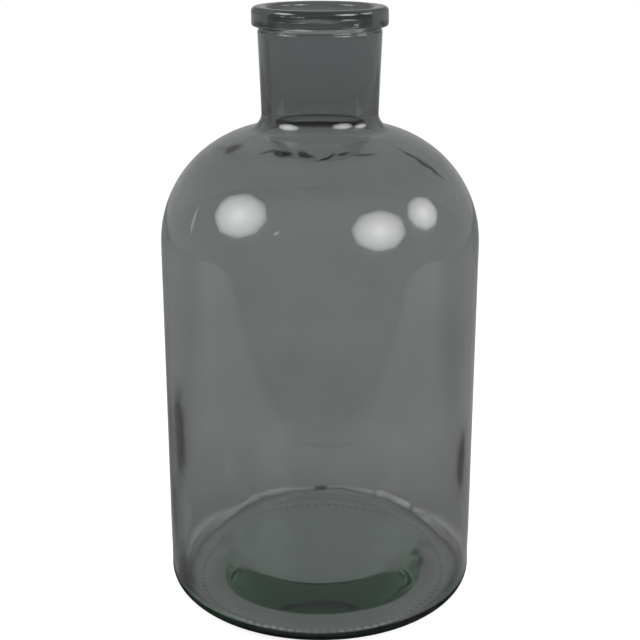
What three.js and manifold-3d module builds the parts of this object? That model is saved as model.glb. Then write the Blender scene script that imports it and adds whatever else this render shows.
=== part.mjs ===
// A bottle vase of smoky grey glass, blown in a mould: a straight round body, a domed shoulder, a short
// neck that opens slightly upwards and a thick rolled lip round an open mouth. It is one piece of glass.
// Millimetres, +Z up, with the origin at the middle of the ring that it stands on.

import * as THREE from 'three';
import { mergeVertices } from 'three/addons/utils/BufferGeometryUtils.js';
import Module from 'manifold-3d';

// Outer form
const overallHeight = 266.3;
const bodyRadius = 70;
const shoulderRadius = 50.7;
const heelReach = 14;
const heelHeight = 10.4;
const neckLength = 35.6;
const neckBottomRadius = 25.2;
const neckTopRadius = 26.5;
const neckFillet = 7.3;

// Rolled lip
const lipRadius = 29;
const lipHeight = 8.9;
const lipUnderSlope = 1.2;
const lipUnderRounding = 0.8;
const lipOuterRounding = 2;
const lipMouthReach = 3.4;
const lipMouthHeight = 1.4;

// Thickness of the glass
const bodyWall = 3.5;
const shoulderTopWall = 4.6;
const mouthWall = 4.2;
const floorThickness = 5.5;
const cornerReach = 2;
const cornerHeight = 3;

// Thick middle of the base: a low hill with a flat top, inside
const hillRadius = 46.8;
const hillTopRadius = 32.2;
const hillHeight = 7.9;

// Shallow hollow under the base, and the ring of moulded grip marks low on the heel
const hollowRadius = 52;
const hollowDepth = 0.3;
const gripCount = 96;
const gripInset = 3.5;
const gripLength = 2;
const gripWidth = 0.9;
const gripFoot = 0.3;
const gripRoot = 1;

// Faces of the mesh: round the axis, and along each arc of the outline
const roundSteps = 72;
const heelSteps = 4;
const shoulderSteps = 8;
const filletSteps = 4;
const lipSteps = 3;
const hollowSteps = 4;
const floorStep = 12;

// Levels and radii that follow from the sizes above
const lipBottom = overallHeight - lipHeight;
const neckBottom = lipBottom - neckLength;
const bearingRadius = bodyRadius - heelReach;
const boreTopRadius = neckTopRadius - mouthWall;
const boreBottomRadius = neckBottomRadius - shoulderTopWall;
const cavityRadius = bodyRadius - bodyWall;

// Points of a quarter or part of an ellipse round a centre, with the angles in radians
function arc(centre, reach, height, from, to, steps) {
  const points = [];
  for (let step = 0; step <= steps; step += 1) {
    const angle = from + ((to - from) * step) / steps;
    points.push(new THREE.Vector2(centre.x + reach * Math.cos(angle), centre.y + height * Math.sin(angle)));
  }
  return points;
}

// The shallow hollow of the underside, from its middle out to its edge, which runs smoothly into the ring
function hollow() {
  const points = [];
  for (let step = 0; step <= hollowSteps; step += 1) {
    const share = step / hollowSteps;
    points.push(new THREE.Vector2(hollowRadius * share, hollowDepth * (1 - share ** 2) ** 2));
  }
  return points;
}

// Points of a straight run inwards at one level, about a floor step apart, without its first point
function levelRun(fromRadius, toRadius, level) {
  const points = [];
  const steps = Math.max(1, Math.round((fromRadius - toRadius) / floorStep));
  for (let step = 1; step <= steps; step += 1) {
    points.push(new THREE.Vector2(fromRadius + ((toRadius - fromRadius) * step) / steps, level));
  }
  return points;
}

// The run from a straight body wall over the shoulder into the sloping neck: a large arc that bulges
// outwards, then a small arc that turns the other way and ends tangent to the neck
function shoulderRun(wallRadius, largeRadius, smallRadius, neckRadius, neckSlope) {
  const smallCentre = new THREE.Vector2(neckRadius + smallRadius / Math.cos(neckSlope), neckBottom);
  const largeX = wallRadius - largeRadius;
  const reach = smallCentre.x - largeX;
  const drop = Math.sqrt((largeRadius + smallRadius) ** 2 - reach ** 2);
  const largeCentre = new THREE.Vector2(largeX, neckBottom - drop);
  const meet = Math.atan2(drop, reach);
  const large = arc(largeCentre, largeRadius, largeRadius, 0, meet, shoulderSteps);
  const small = arc(smallCentre, smallRadius, smallRadius, meet - Math.PI, -Math.PI - neckSlope, filletSteps);
  return [...large, ...small.slice(1)];
}

// Outside, from the ring it stands on up to the outer edge of the lip's top
function outerOutline() {
  const slope = Math.atan2(neckTopRadius - neckBottomRadius, neckLength);
  const heelCentre = new THREE.Vector2(bearingRadius, heelHeight);
  const heel = arc(heelCentre, heelReach, heelHeight, -Math.PI / 2, 0, heelSteps);
  const shoulder = shoulderRun(bodyRadius, shoulderRadius, neckFillet, neckBottomRadius, slope);
  const neckTop = new THREE.Vector2(neckTopRadius, lipBottom);
  const underLevel = lipBottom + lipUnderSlope + lipUnderRounding;
  const underCentre = new THREE.Vector2(lipRadius - lipUnderRounding, underLevel);
  const under = arc(underCentre, lipUnderRounding, lipUnderRounding, -Math.PI / 2, 0, lipSteps);
  const edgeCentre = new THREE.Vector2(lipRadius - lipOuterRounding, overallHeight - lipOuterRounding);
  const edge = arc(edgeCentre, lipOuterRounding, lipOuterRounding, 0, Math.PI / 2, lipSteps);
  return [...heel, ...shoulder, neckTop, ...under, ...edge];
}

// Inside, from the mouth's edge down the neck and the body to the middle of the floor
function innerOutline() {
  const slope = Math.atan2(boreTopRadius - boreBottomRadius, neckLength);
  const mouthCentre = new THREE.Vector2(boreTopRadius + lipMouthReach, overallHeight - lipMouthHeight);
  const mouth = arc(mouthCentre, lipMouthReach, lipMouthHeight, Math.PI / 2, Math.PI, lipSteps);
  const boreTop = new THREE.Vector2(boreTopRadius, lipBottom);
  const innerShoulder = shoulderRadius - bodyWall;
  const innerFillet = neckFillet + shoulderTopWall;
  const shoulder = shoulderRun(cavityRadius, innerShoulder, innerFillet, boreBottomRadius, slope);
  const wallFoot = new THREE.Vector2(cavityRadius, floorThickness + cornerHeight);
  const corner = new THREE.Vector2(cavityRadius - cornerReach, floorThickness);
  const ring = levelRun(corner.x, hillRadius, floorThickness);
  const hillEdge = new THREE.Vector2(hillTopRadius, floorThickness + hillHeight);
  const hillTop = levelRun(hillEdge.x, 0, hillEdge.y);
  return [...mouth, boreTop, ...shoulder.reverse(), wallFoot, corner, ...ring, hillEdge, ...hillTop];
}

// The whole outline of the glass, from the middle of the underside round to the middle of the floor
function bottleOutline() {
  return [...hollow(), ...outerOutline(), ...innerOutline()];
}

// A closed mesh with shared corners, ready for joining
function solidOf(geometry, wasm) {
  geometry.deleteAttribute('normal');
  geometry.deleteAttribute('uv');
  const merged = mergeVertices(geometry);
  const vertProperties = new Float32Array(merged.attributes.position.array);
  const triVerts = new Uint32Array(merged.index.array);
  return new wasm.Manifold(new wasm.Mesh({ numProp: 3, vertProperties, triVerts }));
}

// The bottle's glass as a turned body, with its axis along +Z
function bottleBody(wasm) {
  const turned = new THREE.LatheGeometry(bottleOutline(), roundSteps);
  turned.rotateX(Math.PI / 2);
  return solidOf(turned, wasm);
}

// One grip mark: a short bar along a radius, rooted in the heel and standing a little out of its curve
function gripMark(index, wasm) {
  const bar = new THREE.BoxGeometry(gripLength, gripWidth, gripRoot);
  bar.translate(bearingRadius + gripInset + gripLength / 2, 0, gripFoot + gripRoot / 2);
  bar.rotateZ((2 * Math.PI * (index + 0.5)) / gripCount);
  return solidOf(bar, wasm);
}

// Turn a joined solid back into a three.js geometry
function geometryOf(solid) {
  const mesh = solid.getMesh();
  const geometry = new THREE.BufferGeometry();
  geometry.setAttribute('position', new THREE.BufferAttribute(mesh.vertProperties, 3));
  geometry.setIndex(new THREE.BufferAttribute(mesh.triVerts, 1));
  geometry.computeVertexNormals();
  return geometry;
}

const wasm = await Module();
wasm.setup();

let glass = bottleBody(wasm);
for (let index = 0; index < gripCount; index += 1) {
  glass = glass.add(gripMark(index, wasm));
}

const smokyGlass = new THREE.MeshStandardMaterial({
  color: 0x6c6e6d,
  roughness: 0.05,
  metalness: 0,
  transparent: true,
  opacity: 0.6,
});

const bottle = new THREE.Mesh(geometryOf(glass), smokyGlass);
bottle.name = 'glass_bottle';

const vase = new THREE.Group();
vase.add(bottle);

export default vase;
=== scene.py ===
"""A bottle vase of smoky grey glass on a pale studio floor, photographed from a little above."""

import math
from collections import namedtuple

import bpy
import numpy as np
from mathutils import Matrix, Vector, noise


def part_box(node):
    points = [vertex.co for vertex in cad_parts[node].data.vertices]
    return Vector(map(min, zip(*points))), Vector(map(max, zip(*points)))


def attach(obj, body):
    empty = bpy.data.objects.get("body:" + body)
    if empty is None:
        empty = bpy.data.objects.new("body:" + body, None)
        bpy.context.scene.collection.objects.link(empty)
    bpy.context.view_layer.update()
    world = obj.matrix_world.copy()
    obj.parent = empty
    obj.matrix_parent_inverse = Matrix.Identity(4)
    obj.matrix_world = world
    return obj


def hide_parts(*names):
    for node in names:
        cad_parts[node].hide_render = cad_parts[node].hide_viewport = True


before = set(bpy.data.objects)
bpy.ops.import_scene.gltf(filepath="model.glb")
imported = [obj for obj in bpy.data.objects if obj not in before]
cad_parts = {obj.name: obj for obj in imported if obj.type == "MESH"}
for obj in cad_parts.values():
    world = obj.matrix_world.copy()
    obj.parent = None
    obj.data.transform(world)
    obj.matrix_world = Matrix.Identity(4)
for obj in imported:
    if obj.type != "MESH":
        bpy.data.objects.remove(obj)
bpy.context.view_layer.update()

MM = 0.001
NODE = "glass_bottle"
BODY = "root"

# The bottle's place and outer size come from its CAD node
low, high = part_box(NODE)
BASE_LEVEL = low.z
HEIGHT = high.z - low.z
BODY_RADIUS = (high.x - low.x) / 2

# Outer form
SHOULDER_RADIUS = 50.7 * MM
HEEL_REACH = 14 * MM
HEEL_HEIGHT = 10.4 * MM
NECK_LENGTH = 35.6 * MM
NECK_BOTTOM_RADIUS = 25.2 * MM
NECK_TOP_RADIUS = 26.5 * MM
NECK_FILLET = 7.3 * MM
LIP_RADIUS = 29 * MM
LIP_HEIGHT = 8.9 * MM
LIP_UNDER_SLOPE = 1.2 * MM
LIP_UNDER_ROUNDING = 0.8 * MM
LIP_OUTER_ROUNDING = 2 * MM
LIP_MOUTH_REACH = 3.4 * MM
LIP_MOUTH_HEIGHT = 1.4 * MM
GROOVE_DEPTH = 0.5 * MM
GROOVE_HEIGHT = 1.1 * MM
GROOVE_LEVEL_BELOW_LIP = 0.4 * MM
GROOVE_ZONE = 4 * MM
RECESS_RADIUS = 52 * MM
RECESS_DEPTH = 0.3 * MM

# Moulded marks under the heel. The edge is the share of a mark's length over which it ends
GRIP_COUNT = 96
GRIP_START = 56.2 * MM
GRIP_LENGTH = 2 * MM
GRIP_EDGE = 0.25
GRIP_SHARPNESS = 4
GRIP_DEPTH_SHARE = 0.25
GRIP_COAT = 0.75
GRIP_ZONE_TOP = HEEL_HEIGHT / 3
GRIP_ZONE_MARGIN = 1 * MM

# Thickness of the glass
BODY_WALL = 3.5 * MM
SHOULDER_TOP_WALL = 4.6 * MM
MOUTH_WALL = 4.2 * MM
FLOOR_THICKNESS = 5.5 * MM
CORNER_RADIUS = 0.5 * MM
INNER_FILLET = 12 * MM
INNER_FILLET_DROP = 0.4 * MM

# Directions round the bottle: the camera stands in front, and right is at 0
BACK_ANGLE = math.radians(90)
FRONT_ANGLE = -BACK_ANGLE
BEHIND_STEEPNESS = 1.5

# The low hill in the middle of the inner floor. Past the soft limit, in roundings, a rounded bend is straight
HILL_RADIUS = 38.8 * MM
HILL_WIDER = 1.2
HILL_SHIFT = -3 * MM
HILL_FORWARD = 8 * MM
HILL_HEIGHT = 7.9 * MM
HILL_SLOPE = 0.59
HILL_ROUNDING = 2.2 * MM
HILL_FOOT = 0.3 * MM
SOFT_LIMIT = 10

# The back of the inner floor, filled up to the hill's height where the glass settled
BACK_RISE_END = math.radians(63)
BACK_RISE_FADE = math.radians(42)
BACK_RISE_RUN = 12 * MM
MIDDLE_FILL_END = math.radians(120)
MIDDLE_FILL_FADE = math.radians(60)
FILL_EDGE = 40 * MM
FILL_EDGE_RUN = 18 * MM
FILL_EDGE_MORE = 16 * MM
FILL_EDGE_ANGLE = math.radians(80)
FILL_EDGE_FADE = math.radians(30)
FILL_START = 6 * MM
FILL_RUN = 12 * MM
BACK_TOP_RISE = 0.4 * MM
BACK_TOP_ANGLE = math.radians(75)
BACK_TOP_SPREAD = math.radians(40)
LEFT_RISE = 3 * MM
LEFT_RISE_ANGLE = math.radians(160)
LEFT_RISE_SPREAD = math.radians(11)

# The slope between wall and floor. A fill is its middle angle, its spread and how much it adds
SLOPE_TURN = math.radians(35)
SLOPE_RUN = 0.6 * MM
SLOPE_GROWTH = 2.3 * MM
SLOPE_AT_SIDE = 0.5
SLOPE_NARROWING = 0.65
SLOPE_NARROW_SPREAD = math.radians(25)
SLOPE_FILLS = (
    (math.radians(156), math.radians(14), 0.9 * MM),
    (math.radians(25), math.radians(14), 0.8 * MM),
)

# Waves round the bottle, each with its count, its phase and its share
CORNER_RIPPLE = 0.5 * MM
CORNER_WAVES = ((9, 1, 1.0), (17, 2, 0.6), (31, 0, 0.4))
SLOPE_WAVES = ((13, 0, 0.22), (29, 1, 0.22), (47, 0, 0.15))

# Unevenness of the wall and the lip
CAVITY_SHIFT = 1.6 * MM
SETTLED_RUN = 60 * MM
WALL_WAVE = 0.1 * MM
WALL_WAVE_SIZE = 25 * MM
LIP_STREAK = 0.18 * MM
LIP_STREAK_LENGTH = 16 * MM
LIP_STREAK_HEIGHT = 2.2 * MM
LIP_STREAK_OUTSIDE = 0.4

# Levels and radii that follow from the sizes above
LIP_BOTTOM = HEIGHT - LIP_HEIGHT
NECK_BOTTOM = LIP_BOTTOM - NECK_LENGTH
BEARING_RADIUS = BODY_RADIUS - HEEL_REACH
BORE_TOP_RADIUS = NECK_TOP_RADIUS - MOUTH_WALL
BORE_BOTTOM_RADIUS = NECK_BOTTOM_RADIUS - SHOULDER_TOP_WALL
CAVITY_RADIUS = BODY_RADIUS - BODY_WALL
CORNER_START = CAVITY_RADIUS - CORNER_RADIUS
CORNER_TOP = FLOOR_THICKNESS + CORNER_RADIUS
SETTLED_TOP = FLOOR_THICKNESS + SETTLED_RUN

# How finely the surface is divided
AROUND = 168
AROUND_GRIPS = 4 * AROUND
ALONG = 2 * MM
ALONG_FLOOR = 1 * MM
ALONG_ROUNDING = 0.5 * MM
ALONG_CORNER = 0.25 * MM
ALONG_INNER_CORNER = CORNER_RADIUS / 12
BEND_POINTS = 6
FEWEST_ARC_STEPS = 3

# Where the coat lies: its lower edge on the heel and how far it reaches into the mouth; then where painted
# shade is laid on as coat
COAT_EDGE_LEVEL = 1.2 * MM
COAT_EDGE_SOFTER = 3 * MM
COAT_EDGE_AT_SIDE = 0.5
COAT_MOUTH_DEPTH = 14 * MM
# Painted shade low on the front of the heel: its top, its rise at the sides, its soft edge and how far it
# keeps off the back
HEEL_SHADE_LEVEL = 9.3 * MM
HEEL_SHADE_SIDE_RISE = 1 * MM
HEEL_SHADE_EDGE = 1.2 * MM
HEEL_SHADE_BACK_SPREAD = math.radians(60)
# Painted shade in the crease between wall and floor, towards the back, laid on as coat
CREASE_SHADE_COAT = 0.6
CREASE_SHADE_RUN = 1.1 * MM
CREASE_SHADE_AT_SIDE = 0.6
# Painted shade in the slope at the back of the floor: a dark dash, then small dark specks
SHADE_DASH_ANGLE = math.radians(92)
SHADE_DASH_HALF_WIDTH = math.radians(4.5)
SHADE_DASH_FADE = math.radians(2.25)
SPECKS = (math.radians(121), math.radians(66), math.radians(47))
SPECK_SPREAD = math.radians(1.2)

# Colours of the glass and its coat
CLEAR = (1, 1, 1, 1)
DARKER_TINT = (0.120, 0.119, 0.120, 1)
LIGHTER_TINT = (0.208, 0.206, 0.206, 1)
NECK_TINT = (0.100, 0.101, 0.106, 1)
NECK_FOOT_TINT = (0.082, 0.082, 0.085, 1)
LIP_TINT = (0.085, 0.085, 0.088, 1)
# Painted shade on the heel and in the slope at the back of the floor, and the grip marks, take this colour
SHADE_AND_GRIP_TINT = (0.012, 0.014, 0.013, 1)
# Darker colour for the marks and the painted shade
MARK_AND_SHADE_TINT = (0.0045, 0.0035, 0.0035, 1)
# Lighter colour for the painted highlights and reflections, and for a scratch
SCRATCH_AND_HIGHLIGHT_TINT = (0.6, 0.6, 0.6, 1)
GLASS_COLOUR = (0.75, 0.862, 0.80, 1)
GLASS_DENSITY = 80
GLASS_BENDING = 1.5

# How light the coat is at each level in mm, from 0 for the darker tint to 1 for the lighter one
COAT_BANDS = (
    (60, 0.5), (80, 0.5), (96, 0.62), (118, 0.38), (135, 0.38),
    (155, 0.52), (180, 0.5), (193, 0.68), (202, 0.3), (210, 0.45),
)
BLOTCH_SCALE = 22
BLOTCH_DETAIL = 4
BLOTCH_RANGE = (0.3, 0.7, -0.12, 0.12)
NECK_TINT_RANGE = (NECK_BOTTOM - 8 * MM, NECK_BOTTOM - 3 * MM)

# Dark marks in the coat's colour, among them painted shade where named so: middle and half width in degrees,
# level and half height in mm, rise in mm per radian
Mark = namedtuple("Mark", "what angle half_width level half_height rise strength")
DARK_MARKS_AND_SHADE = (
    Mark("dark mark under the neck, far left", -119, 7, 210.9, 0.7, 4, 0.9),
    Mark("dark mark under the neck, left", -113, 9, 210.6, 1.4, -3, 1.0),
    Mark("dark mark under the neck, middle", -98, 8, 210.8, 0.9, -2, 1.0),
    Mark("short dark line under the neck", -86, 6, 210.1, 0.6, 9, 1.0),
    Mark("short dark line under the neck, right", -77, 6, 210.9, 0.65, 8, 1.0),
    Mark("short dark line under the neck, far right", -65, 8, 210.1, 0.6, -4, 0.9),
    Mark("line down the right shoulder", -33.5, 9, 204.8, 1.9, -56, 1.0),
    Mark("smudge on the left shoulder", -157, 14, 209.2, 1.3, 7, 0.6),
    Mark("spot on the left shoulder", -148, 8, 209.9, 2.4, 6, 1.0),
    Mark("shade low on the right", -48, 24, 122, 40, 0, 0.14),
    Mark("streak on the left", -151.8, 6.5, 86, 29, 0, 1.0),
    Mark("streak low on the left", -153, 8, 12, 25, 0, 1.0),
    Mark("streak on the right", -26.5, 5.5, 72, 19, 0, 1.0),
    Mark("line high on the left", -165, 3, 156, 22, 0, 0.45),
    Mark("line high on the right", -14, 3.5, 168, 24, 0, 0.4),
    Mark("painted shade band in the left of the neck", -147, 7, 236, 30, 0, 0.5),
    Mark("blotch in front", -100, 6, 131.5, 7, 0, 0.08),
    Mark("line low in front", -86, 14, 96.5, 1.2, 0, 0.2),
)
# Light marks in the coat's colour: painted highlights on the left shoulder and along the heel, painted
# reflections in the lip, and a small scratch in front
SCRATCHES_AND_HIGHLIGHTS = (
    Mark("painted highlight streak on the left shoulder", -141, 1.0, 184, 6.5, 0, 0.8),
    Mark("small scratch in front", -105, 1.2, 184, 0.8, 20, 0.8),
    Mark("painted reflection in the lip", -93, 26, 262.4, 0.9, 0, 0.9),
    Mark("painted highlight along the heel, right", -46, 42, 10.8, 0.9, 1.6, 1.0),
    Mark("painted highlight along the heel, left", -132, 44, 10.6, 0.9, -1.6, 0.7),
    Mark("lower painted reflection in the lip", -106, 12, 258.8, 0.5, 0, 0.6),
)
MARK_CORE = 0.5
MARK_NOISE_SCALE = 110
MARK_WANDER = 1.6 * MM
MARK_SWAY = 0.05
SCRATCH_AND_HIGHLIGHT_WANDER = 0.8 * MM

# Painted shade: the dark band above the foot of the neck, in front
FOOT_SHADE_LEVEL = 220.4 * MM
FOOT_SHADE_HALF_HEIGHT = 1.5 * MM
FOOT_SHADE_HALF_WIDTH = math.radians(49)
FOOT_SHADE_CORE = 0.93

# Camera, with its sensor's width in millimetres
CAMERA_DISTANCE = 568.8 * MM
CAMERA_HEIGHT = 311.4 * MM
CAMERA_PITCH = math.radians(17.905)
SENSOR = 36.0
FOCAL_PIXELS = 1322.5
PICTURE_PIXELS = 640
NEAREST = 10 * MM

# Floor and room
FLOOR_FRONT = -320 * MM
FLOOR_BACK = 1400 * MM
FLOOR_SIDE = 1100 * MM
FLOOR_GAP = 0.05 * MM
FLOOR_COLOUR = (0.3, 0.3, 0.3, 1)
# Painted shade of the floor near the bottle, which only reflections see
CONTACT_SHADE_COLOUR = (0.03, 0.03, 0.03, 1)
CAMERA_OWN_LIGHT = 0.85
AMBIENT = 0.5
ROOM_RADIUS = 2200 * MM
ROOM_DEPTH = 2200 * MM
ROOM_HEIGHT = 2500 * MM
ROOM_SIDES = 64
ROOM_LEVEL = 0.42
GUIDED_BOUNCES = 12

# Ranges on the floor: a start and an end, and the values there where they aren't 0 and 1. These are distances
# from the bottle's axis
# Where the painted shade of the floor near the bottle ends
CONTACT_SHADE_AWAY = (BODY_RADIUS + 5 * MM, BODY_RADIUS + 10 * MM, 1.0, 0.0)
# Painted shadow in the floor's own light: weak under the bottle, and rising away from it
LIGHT_UNDER_AWAY = (BODY_RADIUS - 4 * MM, BODY_RADIUS + 6 * MM, 0.25, 0.40)
LIGHT_CLOSE_AWAY = (BODY_RADIUS + 6 * MM, 190 * MM, 0.0, 0.22)
LIGHT_FAR_AWAY = (190 * MM, 600 * MM, 0.0, 0.12)
# A painted caustic in the floor's own light, beside and behind the bottle
PAINTED_CAUSTIC_START_AWAY = (BODY_RADIUS - 4 * MM, BODY_RADIUS + 4 * MM)
PAINTED_CAUSTIC_END_AWAY = (BODY_RADIUS + 12 * MM, BODY_RADIUS + 22 * MM, 1.0, 0.0)
# Painted shade in reflections: they see the floor's own light only away from the bottle
MIRRORED_AWAY = (BODY_RADIUS + 10 * MM, 150 * MM)
# A painted bright ring beside the heel, which only reflections show
RIM_START_AWAY = (BODY_RADIUS + 6.5 * MM, BODY_RADIUS + 8 * MM)
RIM_END_AWAY = (BODY_RADIUS + 15 * MM, BODY_RADIUS + 18 * MM, 1.8, 0.0)

# The same, from left to right across the floor, and from front to back along it
# The painted caustic, stronger to the right and to the left, and only behind the bottle
PAINTED_CAUSTIC_RIGHT = (10 * MM, 45 * MM, 1.0, 2.1)
PAINTED_CAUSTIC_LEFT = (-30 * MM, -60 * MM, 1.0, 2.0)
PAINTED_CAUSTIC_BEHIND = (-20 * MM, 20 * MM, 0.0, 0.42)
MIRRORED_IN_FRONT = (60 * MM, -60 * MM)
MIRRORED_EDGE = (FLOOR_FRONT, FLOOR_FRONT + 50 * MM)
MIRRORED_LEVEL = 0.65
# Where the painted bright ring lies: in front
RIM_IN_FRONT = (-30 * MM, -60 * MM)

# Softboxes: azimuth from the camera and elevation in degrees, distance and radius in metres
Lamp = namedtuple("Lamp", "name azimuth elevation distance radius strength")
LAMPS = (
    Lamp("left", -70.5, 32.2, 1.2, 0.44, 9.4),
    Lamp("right", 47.2, 26.3, 1.2, 0.43, 9.8),
    Lamp("far_right", 90, 25, 1.6, 0.38, 8.2),
)
LAMP_AIM = (0, -55 * MM, 190 * MM)
LAMP_SIDES = 8
LAMP_WIDER = 1.06
LAMP_LOWER = 0.94
DIFFUSE_LAMP_SHARE = 0.55
CLOTH_MIDDLE = 1.22
CLOTH_EDGE = 0.45
CLOTH_RIM = 0.76
CLOTH_RIM_LEVEL = 0.4


def smooth(share):
    """A rise from 0 to 1 that starts and ends level."""
    share = min(max(share, 0), 1)
    return share * share * (3 - 2 * share)


def soft_plus(value, rounding):
    """The value where it is above 0 and nothing where it is below, with the bend between them rounded."""
    if value >= SOFT_LIMIT * rounding:
        return value
    return math.log1p(math.exp(value / rounding)) * rounding


def turn_from(angle, middle):
    """The angle from the middle one to this one, the shorter way round."""
    return (angle - middle + math.pi) % math.tau - math.pi


def bump(angle, middle, spread):
    """1 at the middle angle, falling softly to 0 on both sides."""
    return math.exp(-(turn_from(angle, middle) / spread) ** 2)


def waves(angle, parts):
    """The sum of sine waves round the bottle."""
    return sum(share * math.sin(count * angle + phase) for count, phase, share in parts)


def behind_share(angle, at_side):
    """0 in front, 1 behind and about the given share at the sides."""
    return smooth(at_side + BEHIND_STEEPNESS * math.sin(angle))


def arc(centre, reach, height, start, end, spacing):
    """Points along part of an ellipse, as radius and level, about spacing apart."""
    length = abs(end - start) * math.sqrt((reach ** 2 + height ** 2) / 2)
    steps = max(int(round(length / spacing)), FEWEST_ARC_STEPS)
    angles = np.linspace(start, end, steps + 1)
    return [(centre[0] + reach * math.cos(a), centre[1] + height * math.sin(a)) for a in angles]


def line(start, end, spacing=ALONG):
    """Points along a straight run, without its first point."""
    length = math.hypot(end[0] - start[0], end[1] - start[1])
    steps = max(int(round(length / spacing)), 1)
    shares = np.linspace(0, 1, steps + 1)[1:]
    return [(start[0] + (end[0] - start[0]) * s, start[1] + (end[1] - start[1]) * s) for s in shares]


def rounded_corner(before, corner, after, reach):
    """A smooth bend at a corner, starting and ending reach away from it."""
    corner = Vector(corner)
    start = corner + (Vector(before) - corner).normalized() * reach
    end = corner + (Vector(after) - corner).normalized() * reach
    shares = np.linspace(0, 1, BEND_POINTS)
    return [tuple(start.lerp(corner, s).lerp(corner.lerp(end, s), s)) for s in shares]


def shoulder_run(wall_radius, large_radius, small_radius, neck, small_level):
    """The run from a straight wall over the shoulder into the sloping neck, as two arcs that meet."""
    neck_bottom_radius, neck_top_radius = neck
    slope = math.atan2(neck_top_radius - neck_bottom_radius, NECK_LENGTH)
    small_centre = (neck_bottom_radius + small_radius / math.cos(slope), small_level)
    large_x = wall_radius - large_radius
    reach = small_centre[0] - large_x
    drop = math.sqrt((large_radius + small_radius) ** 2 - reach ** 2)
    meet = math.atan2(drop, reach)
    large_centre = (large_x, small_level - drop)
    large = arc(large_centre, large_radius, large_radius, 0, meet, ALONG)
    small = arc(small_centre, small_radius, small_radius, meet - math.pi, -math.pi - slope, ALONG_ROUNDING)
    return large + small[1:]


def recess():
    """The shallow hollow underneath, from its middle outwards."""
    points = [(0, RECESS_DEPTH)]
    for radius, _ in line(points[0], (RECESS_RADIUS, RECESS_DEPTH)):
        points.append((radius, RECESS_DEPTH * (1 - (radius / RECESS_RADIUS) ** 2) ** 2))
    return points


def neck_side(bottom, top):
    """The outside of the neck, drawn in by a shallow groove just under the lip."""
    grooved = []
    below = GROOVE_ZONE / (top[1] - bottom[1])
    zone_start = (top[0] - (top[0] - bottom[0]) * below, top[1] - GROOVE_ZONE)
    for radius, level in line(bottom, zone_start) + line(zone_start, top, ALONG_CORNER):
        share = smooth(1 - (top[1] - level - GROOVE_LEVEL_BELOW_LIP) / GROOVE_HEIGHT)
        grooved.append((radius - GROOVE_DEPTH * share, level))
    return grooved


def lip_side(start):
    """The outside of the rolled lip, from the top of the neck to the edge of the lip's top."""
    edge_centre = (LIP_RADIUS - LIP_OUTER_ROUNDING, HEIGHT - LIP_OUTER_ROUNDING)
    edge = arc(edge_centre, LIP_OUTER_ROUNDING, LIP_OUTER_ROUNDING, 0, math.pi / 2, ALONG_ROUNDING)
    under_corner = (LIP_RADIUS, LIP_BOTTOM + LIP_UNDER_SLOPE)
    bend = rounded_corner(start, under_corner, edge[0], LIP_UNDER_ROUNDING)
    points = line(start, bend[0], ALONG_ROUNDING) + bend[1:]
    return points + line(points[-1], edge[0], ALONG_CORNER) + edge[1:]


def outer_profile():
    """Outside of the glass, from the middle of the underside to the top of the lip."""
    points = recess()
    points += line(points[-1], (BEARING_RADIUS, 0))
    points += arc((BEARING_RADIUS, HEEL_HEIGHT), HEEL_REACH, HEEL_HEIGHT, -math.pi / 2, 0, ALONG_ROUNDING)[1:]
    neck = (NECK_BOTTOM_RADIUS, NECK_TOP_RADIUS)
    shoulder = shoulder_run(BODY_RADIUS, SHOULDER_RADIUS, NECK_FILLET, neck, NECK_BOTTOM)
    points += line(points[-1], shoulder[0]) + shoulder[1:]
    points += neck_side(points[-1], (NECK_TOP_RADIUS, LIP_BOTTOM))
    return points + lip_side(points[-1])


def inner_profile():
    """Inside of the glass if it were even, from the mouth's edge down to the middle of the floor."""
    mouth_centre = (BORE_TOP_RADIUS + LIP_MOUTH_REACH, HEIGHT - LIP_MOUTH_HEIGHT)
    points = arc(mouth_centre, LIP_MOUTH_REACH, LIP_MOUTH_HEIGHT, math.pi / 2, math.pi, ALONG_ROUNDING)
    points += line(points[-1], (BORE_TOP_RADIUS, LIP_BOTTOM), ALONG_CORNER)
    bore = (BORE_BOTTOM_RADIUS, BORE_TOP_RADIUS)
    level = NECK_BOTTOM - INNER_FILLET_DROP
    shoulder = shoulder_run(CAVITY_RADIUS, SHOULDER_RADIUS - BODY_WALL, INNER_FILLET, bore, level)[::-1]
    points += line(points[-1], shoulder[0]) + shoulder[1:]
    corner_centre = (CORNER_START, CORNER_TOP)
    corner = arc(corner_centre, CORNER_RADIUS, CORNER_RADIUS, 0, -math.pi / 2, ALONG_INNER_CORNER)
    points += line(points[-1], corner[0]) + corner[1:]
    return points + line(points[-1], (0, FLOOR_THICKNESS), ALONG_FLOOR)


def back_share(angle):
    """How far the floor is filled up at the wall: fully at the back, where the glass is thick."""
    return smooth((BACK_RISE_END - abs(turn_from(angle, BACK_ANGLE))) / BACK_RISE_FADE)


def slope_run(angle):
    """Length of the slope between wall and floor: short at the front and the very back, longer between."""
    narrowed = 1 - SLOPE_NARROWING * bump(angle, BACK_ANGLE, SLOPE_NARROW_SPREAD)
    growth = SLOPE_GROWTH * narrowed * behind_share(angle, SLOPE_AT_SIDE)
    fill = sum(size * bump(angle, middle, spread) for middle, spread, size in SLOPE_FILLS)
    return SLOPE_RUN + (growth + fill) * (1 + waves(angle, SLOPE_WAVES))


def hill_share(distance):
    """How far the floor has risen from the hill's foot to its flat top, at a distance from its middle."""
    steepness = HILL_SLOPE / HILL_HEIGHT
    rising = soft_plus(steepness * (HILL_RADIUS - distance), steepness * HILL_FOOT)
    return rising - soft_plus(rising - 1, steepness * HILL_ROUNDING)


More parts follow.
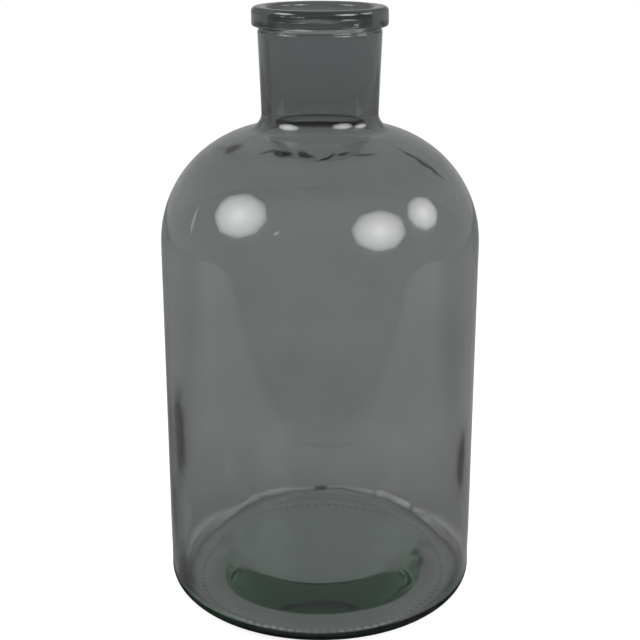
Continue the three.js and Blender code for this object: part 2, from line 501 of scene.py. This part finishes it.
def filled_share(radius, angle):
    """How far a place on the floor is filled up, from the front of the hill to the back wall."""
    away = abs(turn_from(angle, BACK_ANGLE))
    middle = smooth((MIDDLE_FILL_END - away) / MIDDLE_FILL_FADE)
    edge_run = FILL_EDGE_RUN + FILL_EDGE_MORE * smooth((FILL_EDGE_ANGLE - away) / FILL_EDGE_FADE)
    outward = smooth((radius - FILL_EDGE) / edge_run)
    return (middle + (back_share(angle) - middle) * outward) * smooth((radius - FILL_START) / FILL_RUN)


def floor_level(radius, angle):
    """Level of the inner floor: a hill in the middle that runs into the filled back."""
    x = radius * math.cos(angle) - HILL_SHIFT * (1 - radius / CAVITY_RADIUS)
    y = radius * math.sin(angle) + HILL_FORWARD
    hill = hill_share(math.hypot(x / HILL_WIDER, y))
    share = 1 - (1 - hill) * (1 - filled_share(radius, angle))
    top = CORNER_RIPPLE * waves(angle, CORNER_WAVES) * back_share(angle)
    top += BACK_TOP_RISE * bump(angle, BACK_TOP_ANGLE, BACK_TOP_SPREAD)
    top += LEFT_RISE * bump(angle, LEFT_RISE_ANGLE, LEFT_RISE_SPREAD)
    near_wall = smooth(1 - (CAVITY_RADIUS - radius) / BACK_RISE_RUN)
    return FLOOR_THICKNESS + HILL_HEIGHT * share + top * near_wall


def lip_streak(radius, level, angle):
    """Unevenness of the rolled lip, drawn out round the mouth."""
    along = Vector((radius * math.cos(angle), radius * math.sin(angle), 0)) / LIP_STREAK_LENGTH
    share = smooth((level - LIP_BOTTOM) / LIP_UNDER_SLOPE)
    return LIP_STREAK * share * noise.noise(along + Vector((0, 0, level / LIP_STREAK_HEIGHT)))


def in_grip_zone(radius, level):
    """Whether a ring of the outside is near the grip marks, and so has to be finely divided."""
    zone_end = GRIP_START + GRIP_LENGTH + GRIP_ZONE_MARGIN
    return level < GRIP_ZONE_TOP and GRIP_START - ALONG_ROUNDING < radius < zone_end


def grip_share(radius, angle):
    """1 on a grip mark of the heel, falling to 0 round it."""
    along = (radius - GRIP_START) / GRIP_LENGTH
    if along <= 0 or along >= 1:
        return 0
    ends = min(1, along / GRIP_EDGE, (1 - along) / GRIP_EDGE)
    return smooth(GRIP_SHARPNESS * math.cos(angle * GRIP_COUNT)) * ends


def outer_place(radius, level, angle, grip):
    """Where a point of the outer profile lies, with the lip's streaks and the grip marks."""
    uneven = 1 + lip_streak(radius, level, angle) / radius * LIP_STREAK_OUTSIDE
    x, y = radius * math.cos(angle), radius * math.sin(angle)
    return x * uneven, y * uneven, level - GRIP_DEPTH_SHARE * level * grip


def inner_place(radius, level, angle):
    """Where a point of the even inner profile lies in the real, uneven glass."""
    run = slope_run(angle)
    slope_in, slope_down = run * math.sin(SLOPE_TURN), run * math.cos(SLOPE_TURN)
    inward = CORNER_START - slope_in
    bend_top = floor_level(inward, angle) + CORNER_RADIUS + slope_down
    if level >= SETTLED_TOP:
        place = (radius + lip_streak(radius, level, angle), level)
    elif level >= CORNER_TOP and radius > CORNER_START:
        share = (SETTLED_TOP - level) / (SETTLED_TOP - CORNER_TOP)
        place = (radius, SETTLED_TOP - share * (SETTLED_TOP - bend_top))
    elif radius > CORNER_START:
        turn = math.atan2(CORNER_TOP - level, radius - CORNER_START)
        past = 1 if turn > SLOPE_TURN else 0
        place = (radius - slope_in * past, level + bend_top - CORNER_TOP - slope_down * past)
    else:
        squeezed = radius * inward / CORNER_START
        place = (squeezed, floor_level(squeezed, angle))
    low_share = smooth((NECK_BOTTOM - level) / NECK_BOTTOM)
    x, y = place[0] * math.cos(angle), place[0] * math.sin(angle)
    wave = 1 + WALL_WAVE * noise.noise(Vector((x, y, place[1])) / WALL_WAVE_SIZE) / CAVITY_RADIUS
    return x * wave + CAVITY_SHIFT * low_share * place[0] / CAVITY_RADIUS, y * wave, place[1]


def coat_outside(radius, level, angle):
    """How much of the coat a place on the outside carries: all of it, but none underneath."""
    if radius < BEARING_RADIUS and level < HEEL_HEIGHT:
        return 0
    return smooth(level / (COAT_EDGE_LEVEL + COAT_EDGE_SOFTER * behind_share(angle, COAT_EDGE_AT_SIDE)))


def crease_shade_share(radius, level, angle):
    """How much painted shade lies in the crease between wall and floor, towards the back, as a share of the
    coat.
    """
    if level > CORNER_TOP or radius - CORNER_START < -CREASE_SHADE_RUN:
        return 0
    turned = math.atan2(CORNER_TOP - level, radius - CORNER_START)
    return CREASE_SHADE_COAT * behind_share(angle, CREASE_SHADE_AT_SIDE) if turned > SLOPE_TURN else 0


def coat_inside(radius, level, angle):
    """How much of the coat a place on the inside carries: some in the mouth, and painted shade in the floor's
    crease.
    """
    return smooth(1 - (HEIGHT - level) / COAT_MOUTH_DEPTH) + crease_shade_share(radius, level, angle)


def dash_shade_share(radius, level, angle):
    """How dark the painted shade in the slope at the back of the floor is at this place: a dash of it, and
    small dark specks.
    """
    if level > CORNER_TOP or radius <= CORNER_START:
        return 0
    dash = smooth((SHADE_DASH_HALF_WIDTH - abs(angle - SHADE_DASH_ANGLE)) / SHADE_DASH_FADE)
    return min(1, dash + sum(bump(angle, middle, SPECK_SPREAD) for middle in SPECKS))


def heel_shade_share(level, angle):
    """How much painted shade darkens a place low on the front of the heel, as a darker coat."""
    front = 1 - bump(angle, BACK_ANGLE, HEEL_SHADE_BACK_SPREAD)
    top = HEEL_SHADE_LEVEL + HEEL_SHADE_SIDE_RISE * abs(math.cos(angle))
    return smooth((top - level) / HEEL_SHADE_EDGE) * front


def strip(below, above):
    """Faces between two rings, one of which may be divided a whole number of times more finely."""
    faces = []
    coarse = min(len(below), len(above))
    low_share, high_share = len(below) // coarse, len(above) // coarse
    for i in range(coarse):
        low_run = [below[(i * low_share + k) % len(below)] for k in range(low_share + 1)]
        high_run = [above[(i * high_share + k) % len(above)] for k in range(high_share + 1)]
        faces.append(tuple(low_run + high_run[::-1]))
    return faces


def turned_rings(profile, outer_count):
    """The points that the profile turns about Z, the coat's shares there, the shares of painted shade and
    grip marks, and the points of each ring.
    """
    vertices, coat, painted_shade_and_grips, rings = [], [], [], []
    for index, (radius, level) in enumerate(profile[1:-1], 1):
        outside = index < outer_count
        fine = outside and in_grip_zone(radius, level)
        count = AROUND_GRIPS if fine else AROUND
        rings.append(range(len(vertices), len(vertices) + count))
        for step in range(count):
            angle = math.tau * step / count
            grip = grip_share(radius, angle) if fine else 0
            if outside:
                vertices.append(outer_place(radius, level, angle, grip))
                coat.append(max(coat_outside(radius, level, angle), grip * GRIP_COAT))
                # Painted shade low on the front of the heel, and the dark grip marks
                painted_shade_and_grips.append(max(heel_shade_share(level, angle), grip))
            else:
                # Painted shade in the slope at the back of the floor, as coat and as the darker colour
                dash = dash_shade_share(radius, level, angle)
                vertices.append(inner_place(radius, level, angle))
                coat.append(max(coat_inside(radius, level, angle), dash))
                painted_shade_and_grips.append(dash)
    return vertices, coat, painted_shade_and_grips, rings


def turned_mesh(name, profile, outer_count):
    """A closed mesh turned about Z from a profile whose ends lie on the axis, with its coat's shares and its
    painted shade.
    """
    vertices, coat, painted_shade_and_grips, rings = turned_rings(profile, outer_count)
    bottom, top = len(vertices), len(vertices) + 1
    vertices += [(0, 0, profile[0][1]), inner_place(0, profile[-1][1], 0)]
    first, last = rings[0], rings[-1]
    faces = [(bottom, first[(i + 1) % AROUND], first[i]) for i in range(AROUND)]
    faces += [(last[i], last[(i + 1) % AROUND], top) for i in range(AROUND)]
    for below, above in zip(rings, rings[1:]):
        faces += strip(below, above)
    mesh = bpy.data.meshes.new(name)
    mesh.from_pydata(vertices, [], faces)
    mesh.update()
    for attribute, shares in (("coat", coat), ("painted_shade_and_grips", painted_shade_and_grips)):
        mesh.attributes.new(attribute, "FLOAT", "POINT").data.foreach_set("value", shares + [0, 0])
    mesh.polygons.foreach_set("use_smooth", [True] * len(faces))
    return mesh


class Graph:
    """A node tree that starts empty, with short ways to add nodes. A value may be another node's socket."""

    def __init__(self, tree):
        self.tree = tree
        tree.nodes.clear()

    def node(self, kind, values, **settings):
        """A node with these settings, whose inputs get these values."""
        node = self.tree.nodes.new(kind)
        for name, setting in settings.items():
            setattr(node, name, setting)
        for name, value in values.items():
            if isinstance(value, bpy.types.NodeSocket):
                self.tree.links.new(value, node.inputs[name])
            else:
                node.inputs[name].default_value = value
        return node

    def combine(self, operation, first, second=0.0):
        """The outcome of one sum on one or two values."""
        return self.node("ShaderNodeMath", {0: first, 1: second}, operation=operation).outputs[0]

    def total(self, first, second):
        """One value added to another."""
        return self.combine("ADD", first, second)

    def product(self, first, second):
        """One value times another."""
        return self.combine("MULTIPLY", first, second)

    def larger(self, first, second):
        """The larger of two values."""
        return self.combine("MAXIMUM", first, second)

    def ranged(self, value, start, end, at_start=0.0, at_end=1.0):
        """A value stretched from one range to another, held at its ends."""
        ends = {"From Min": start, "From Max": end, "To Min": at_start, "To Max": at_end}
        return self.node("ShaderNodeMapRange", {"Value": value, **ends}).outputs["Result"]

    def mixed(self, share, first, second):
        """A colour between two colours."""
        values = {"Factor": share, "A": first, "B": second}
        return self.node("ShaderNodeMix", values, data_type="RGBA").outputs["Result"]

    def place(self):
        """Where a point lies on its own object."""
        return self.node("ShaderNodeTexCoord", {}).outputs["Object"]

    def parts(self, vector):
        """The three parts of a vector."""
        return self.node("ShaderNodeSeparateXYZ", {0: vector}).outputs

    def length(self, vector):
        """The length of a vector."""
        return self.node("ShaderNodeVectorMath", {0: vector}, operation="LENGTH").outputs["Value"]

    def attribute(self, name):
        """A share that the mesh holds for each of its points."""
        return self.node("ShaderNodeAttribute", {}, attribute_name=name).outputs["Fac"]

    def rays(self):
        """The kinds of ray that a place is seen by."""
        return self.node("ShaderNodeLightPath", {}).outputs

    def glow(self, strength):
        """White light of this strength."""
        return self.node("ShaderNodeEmission", {"Strength": strength}).outputs[0]

    def material_output(self, **shaders):
        """The end of a material, with its shaders by name."""
        self.node("ShaderNodeOutputMaterial", shaders)


def new_material(name):
    """A material and its empty node tree."""
    material = bpy.data.materials.new(name)
    material.use_nodes = True
    return material, Graph(material.node_tree)


def marked_share(graph, turn, level, marks):
    """How much of the listed marks a place on the bottle shows, from its angle and its level."""
    total = 0.0
    for mark in marks:
        middle, wide, tall = math.radians(mark.angle), math.radians(mark.half_width), mark.half_height * MM
        rise = mark.rise * MM
        risen = graph.combine("SUBTRACT", level, graph.product(turn, rise)) if rise else level
        spot = graph.node("ShaderNodeCombineXYZ", {"X": turn, "Y": risen}).outputs[0]
        centre = mark.level * MM - rise * middle
        size, shift = (1 / wide, 1 / tall, 0), (-middle / wide, -centre / tall, 0)
        scaled = graph.node("ShaderNodeVectorMath", {0: spot, 1: size, 2: shift}, operation="MULTIPLY_ADD")
        share = graph.ranged(graph.length(scaled.outputs["Vector"]), 1.0, MARK_CORE, 0.0, mark.strength)
        total = graph.larger(share, total)
    return total


def wandering(graph, value, uneven, reach):
    """A value moved up and down by at most reach, as the noise says."""
    return graph.total(value, graph.ranged(uneven, 0.0, 1.0, -reach, reach))


def foot_shade_band(graph, turn, level):
    """How dark the painted shade in the band above the foot of the neck is."""
    above = graph.combine("ABSOLUTE", graph.combine("SUBTRACT", level, FOOT_SHADE_LEVEL))
    above = graph.ranged(above, FOOT_SHADE_HALF_HEIGHT, FOOT_SHADE_HALF_HEIGHT * MARK_CORE)
    aside = graph.combine("ABSOLUTE", graph.total(turn, -FRONT_ANGLE))
    aside = graph.ranged(aside, FOOT_SHADE_HALF_WIDTH, FOOT_SHADE_HALF_WIDTH * FOOT_SHADE_CORE)
    return graph.product(above, aside)


def dark_marks_and_shade(graph, turn, level, uneven):
    """How dark the marks and the painted shade in the coat's colour are at a place on the bottle."""
    swaying = wandering(graph, turn, uneven, MARK_SWAY)
    marked = marked_share(graph, swaying, wandering(graph, level, uneven, MARK_WANDER), DARK_MARKS_AND_SHADE)
    return graph.larger(marked, foot_shade_band(graph, swaying, level))


def scratch_and_highlight_share(graph, turn, level, uneven):
    """How far the coat's colour is lightened at a place on the bottle: by painted highlights and reflections,
    and by a small scratch.
    """
    return marked_share(graph, turn, wandering(graph, level, uneven, SCRATCH_AND_HIGHLIGHT_WANDER), SCRATCHES_AND_HIGHLIGHTS)


def coat_bands(graph, level):
    """How light the coat is at each level: it was sprayed on unevenly."""
    ramp = graph.node("ShaderNodeValToRGB", {"Fac": graph.ranged(level, 0.0, HEIGHT)})
    while len(ramp.color_ramp.elements) < len(COAT_BANDS):
        ramp.color_ramp.elements.new(0.5)
    for element, (band_level, share) in zip(ramp.color_ramp.elements, COAT_BANDS):
        element.position = band_level * MM / HEIGHT
        element.color = (share, share, share, 1)
    return ramp.outputs["Color"]


def even_tint(graph, place, level):
    """The coat's colour without its marks: lighter and darker on the body, and denser up the neck."""
    noise_values = {"Vector": place, "Scale": BLOTCH_SCALE, "Detail": BLOTCH_DETAIL}
    blotches = graph.node("ShaderNodeTexNoise", noise_values).outputs["Fac"]
    lightness = graph.total(coat_bands(graph, level), graph.ranged(blotches, *BLOTCH_RANGE))
    body = graph.mixed(lightness, DARKER_TINT, LIGHTER_TINT)
    neck = graph.mixed(graph.ranged(level, NECK_BOTTOM, LIP_BOTTOM), NECK_FOOT_TINT, NECK_TINT)
    neck = graph.mixed(graph.ranged(level, LIP_BOTTOM, LIP_BOTTOM + LIP_UNDER_SLOPE), neck, LIP_TINT)
    return graph.mixed(graph.ranged(level, *NECK_TINT_RANGE), body, neck)


def smoky_glass():
    """Clear, slightly green glass under a smoky grey coat on its outside, with its marks and a scratch, and
    with painted shade, highlights and reflections in the coat's colour.
    """
    material, graph = new_material("smoky_glass")
    place = graph.place()
    across, along, level = graph.parts(place)
    turn = graph.combine("ARCTAN2", along, across)
    uneven = graph.node("ShaderNodeTexNoise", {"Vector": place, "Scale": MARK_NOISE_SCALE}).outputs["Fac"]
    tint = even_tint(graph, place, level)
    # Dark marks and painted shade in the coat's colour
    tint = graph.mixed(dark_marks_and_shade(graph, turn, level, uneven), tint, MARK_AND_SHADE_TINT)
    # Painted highlights and reflections, and a scratch
    tint = graph.mixed(scratch_and_highlight_share(graph, turn, level, uneven), tint, SCRATCH_AND_HIGHLIGHT_TINT)
    # Painted shade on the heel and in the slope at the back of the floor, and the grip marks
    tint = graph.mixed(graph.attribute("painted_shade_and_grips"), tint, SHADE_AND_GRIP_TINT)
    tint = graph.mixed(graph.attribute("coat"), CLEAR, tint)
    look = {"Base Color": tint, "Transmission Weight": 1.0, "IOR": GLASS_BENDING, "Roughness": 0.0}
    glass = graph.node("ShaderNodeBsdfPrincipled", look)
    depth = graph.node("ShaderNodeVolumeAbsorption", {"Color": GLASS_COLOUR, "Density": GLASS_DENSITY})
    graph.material_output(Surface=glass.outputs[0], Volume=depth.outputs[0])
    return material


def make_bottle():
    """The whole bottle as one closed piece of glass, in the place of its CAD node."""
    outer = outer_profile()
    inner = inner_profile()
    profile = outer + line(outer[-1], inner[0], ALONG_ROUNDING) + inner[1:]
    mesh = turned_mesh("bottle", profile, len(outer))
    mesh.transform(Matrix.Translation((0, 0, BASE_LEVEL)))
    mesh.materials.append(smoky_glass())
    bottle = bpy.data.objects.new("bottle", mesh)
    bpy.context.scene.collection.objects.link(bottle)
    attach(bottle, BODY)
    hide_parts(NODE)


def make_camera():
    """The camera, in front of the bottle and looking a little down."""
    data = bpy.data.cameras.new("camera")
    data.sensor_width = SENSOR
    data.lens = FOCAL_PIXELS * SENSOR / PICTURE_PIXELS
    data.clip_start = NEAREST
    camera = bpy.data.objects.new("camera", data)
    camera.location = (0, -CAMERA_DISTANCE, CAMERA_HEIGHT)
    camera.rotation_euler = (math.pi / 2 - CAMERA_PITCH, 0, 0)
    bpy.context.scene.collection.objects.link(camera)
    bpy.context.scene.camera = camera


def studio_piece(name, corners, faces, material):
    """An object of the studio, as a mesh with one material."""
    mesh = bpy.data.meshes.new(name)
    mesh.from_pydata(corners, [], faces)
    mesh.materials.append(material)
    piece = bpy.data.objects.new(name, mesh)
    bpy.context.scene.collection.objects.link(piece)
    return piece


def ring(radius, level, sides, turned=0.0):
    """The corners of a level regular polygon round Z."""
    angles = [math.tau * step / sides + turned for step in range(sides)]
    return [(radius * math.cos(a), radius * math.sin(a), level) for a in angles]


def seen_rays(graph, mirrored=1.0):
    """1 for the rays that show the background straight or through glass, and mirrored for reflections."""
    rays = graph.rays()
    seen = graph.larger(rays["Is Camera Ray"], graph.product(rays["Is Glossy Ray"], mirrored))
    return graph.larger(seen, rays["Is Transmission Ray"])


def floor_light(graph, across, along, away):
    """The floor's own light, with painted shadow under and near the bottle and a painted caustic beside and
    behind it.
    """
    beyond = graph.total(graph.ranged(away, *LIGHT_CLOSE_AWAY), graph.ranged(away, *LIGHT_FAR_AWAY))
    even = graph.total(graph.ranged(away, *LIGHT_UNDER_AWAY), beyond)
    beside = graph.product(graph.ranged(away, *PAINTED_CAUSTIC_START_AWAY), graph.ranged(away, *PAINTED_CAUSTIC_END_AWAY))
    sideways = graph.product(graph.ranged(across, *PAINTED_CAUSTIC_RIGHT), graph.ranged(across, *PAINTED_CAUSTIC_LEFT))
    behind = graph.product(graph.ranged(along, *PAINTED_CAUSTIC_BEHIND), sideways)
    return graph.total(even, graph.product(beside, behind))


def floor_mirrored(graph, along, away):
    """How much of the floor's own light shows in reflections: more in front and away from the bottle, and
    most in a painted bright ring beside the heel.
    """
    front = graph.product(graph.ranged(along, *MIRRORED_IN_FRONT), graph.ranged(along, *MIRRORED_EDGE))
    wide = graph.product(graph.product(graph.ranged(away, *MIRRORED_AWAY), front), MIRRORED_LEVEL)
    rim = graph.product(graph.ranged(away, *RIM_START_AWAY), graph.ranged(away, *RIM_END_AWAY))
    return graph.total(wide, graph.product(rim, graph.ranged(along, *RIM_IN_FRONT)))


def floor_material():
    """Pale floor: its own light makes it white where it is seen, with painted shadow and painted light in it,
    and its matt part keeps the shadow.
    """
    material, graph = new_material("studio_floor")
    place = graph.place()
    across, along, _ = graph.parts(place)
    away = graph.length(place)
    rays = graph.rays()
    # Painted shade: reflections see the floor darker near the bottle
    contact_shade = graph.product(rays["Is Glossy Ray"], graph.ranged(away, *CONTACT_SHADE_AWAY))
    colour = graph.mixed(contact_shade, FLOOR_COLOUR, CONTACT_SHADE_COLOUR)
    matt = graph.node("ShaderNodeBsdfDiffuse", {"Color": colour}).outputs[0]
    seen = seen_rays(graph, floor_mirrored(graph, along, away))
    own = graph.product(seen, floor_light(graph, across, along, away))
    straight = graph.product(rays["Is Camera Ray"], CAMERA_OWN_LIGHT)
    glow = graph.glow(graph.larger(own, straight))
    graph.material_output(Surface=graph.node("ShaderNodeAddShader", {0: matt, 1: glow}).outputs[0])
    return material


def make_floor(name, front, back, mirrored):
    """One part of the floor, which reflections and matt things see only where it is mirrored."""
    left, right, level = -FLOOR_SIDE, FLOOR_SIDE, BASE_LEVEL - FLOOR_GAP
    corners = [(left, front, level), (right, front, level), (right, back, level), (left, back, level)]
    floor = studio_piece(name, corners, [(0, 1, 2, 3)], floor_material())
    floor.visible_glossy = mirrored
    floor.visible_diffuse = mirrored


def make_world():
    """White where the background is seen, straight, mirrored or through glass, and soft light elsewhere."""
    world = bpy.data.worlds.new("studio")
    bpy.context.scene.world = world
    world.use_nodes = True
    graph = Graph(world.node_tree)
    strength = graph.ranged(seen_rays(graph), 0.0, 1.0, AMBIENT, 1.0)
    backdrop = graph.node("ShaderNodeBackground", {"Color": CLEAR, "Strength": strength})
    graph.node("ShaderNodeOutputWorld", {"Surface": backdrop.outputs[0]})


def room_material():
    """The dim even light of the room's walls."""
    material, graph = new_material("room")
    graph.material_output(Surface=graph.glow(ROOM_LEVEL))
    return material


def make_room():
    """The dim round room about the table. Only mirrors show it."""
    foot = ring(ROOM_RADIUS, BASE_LEVEL - ROOM_DEPTH, ROOM_SIDES)
    head = ring(ROOM_RADIUS, BASE_LEVEL + ROOM_HEIGHT, ROOM_SIDES)
    faces = [tuple(range(ROOM_SIDES)), tuple(range(ROOM_SIDES, 2 * ROOM_SIDES))]
    for step in range(ROOM_SIDES):
        following = (step + 1) % ROOM_SIDES
        faces.append((step, following, ROOM_SIDES + following, ROOM_SIDES + step))
    room = studio_piece("room", foot + head, faces, room_material())
    room.visible_camera = False
    room.visible_diffuse = False
    room.visible_transmission = False
    room.visible_shadow = False


def softbox_material(strength):
    """Cloth of a softbox, brighter in the middle, with a plain level of light on matt things."""
    material, graph = new_material("softbox_cloth")
    out = graph.length(graph.place())
    level = graph.ranged(out, 0.0, 1.0, strength * CLOTH_MIDDLE, strength * CLOTH_EDGE)
    level = graph.product(level, graph.ranged(out, CLOTH_RIM, 1.0, 1.0, CLOTH_RIM_LEVEL))
    share = graph.ranged(graph.rays()["Is Diffuse Ray"], 0.0, 1.0, 1.0, DIFFUSE_LAMP_SHARE)
    graph.material_output(Surface=graph.glow(graph.product(level, share)))
    return material


def make_lamp(settings):
    """An eight-sided softbox facing the bottle. Azimuth 0 is towards the camera, and right is positive."""
    turn, rise = math.radians(settings.azimuth), math.radians(settings.elevation)
    away = Vector((math.sin(turn) * math.cos(rise), -math.cos(turn) * math.cos(rise), math.sin(rise)))
    corners = ring(1, 0, LAMP_SIDES, math.pi / LAMP_SIDES)
    material = softbox_material(settings.strength)
    lamp = studio_piece("softbox_" + settings.name, corners, [tuple(range(LAMP_SIDES))], material)
    lamp.location = Vector(LAMP_AIM) + away * settings.distance
    lamp.rotation_euler = away.to_track_quat("Z", "Y").to_euler()
    lamp.scale = (settings.radius * LAMP_WIDER, settings.radius * LAMP_LOWER, settings.radius)
    lamp.visible_camera = False


make_bottle()
make_camera()
make_floor("floor", FLOOR_FRONT, FLOOR_BACK, True)
make_floor("floor_in_front", -FLOOR_BACK, FLOOR_FRONT, False)
make_world()
make_room()
for lamp_settings in LAMPS:
    make_lamp(lamp_settings)

bpy.context.scene.cycles.max_bounces = GUIDED_BOUNCES
bpy.context.scene.cycles.glossy_bounces = GUIDED_BOUNCES
bpy.context.scene.cycles.transmission_bounces = GUIDED_BOUNCES
bpy.context.scene.view_settings.view_transform = "Standard"
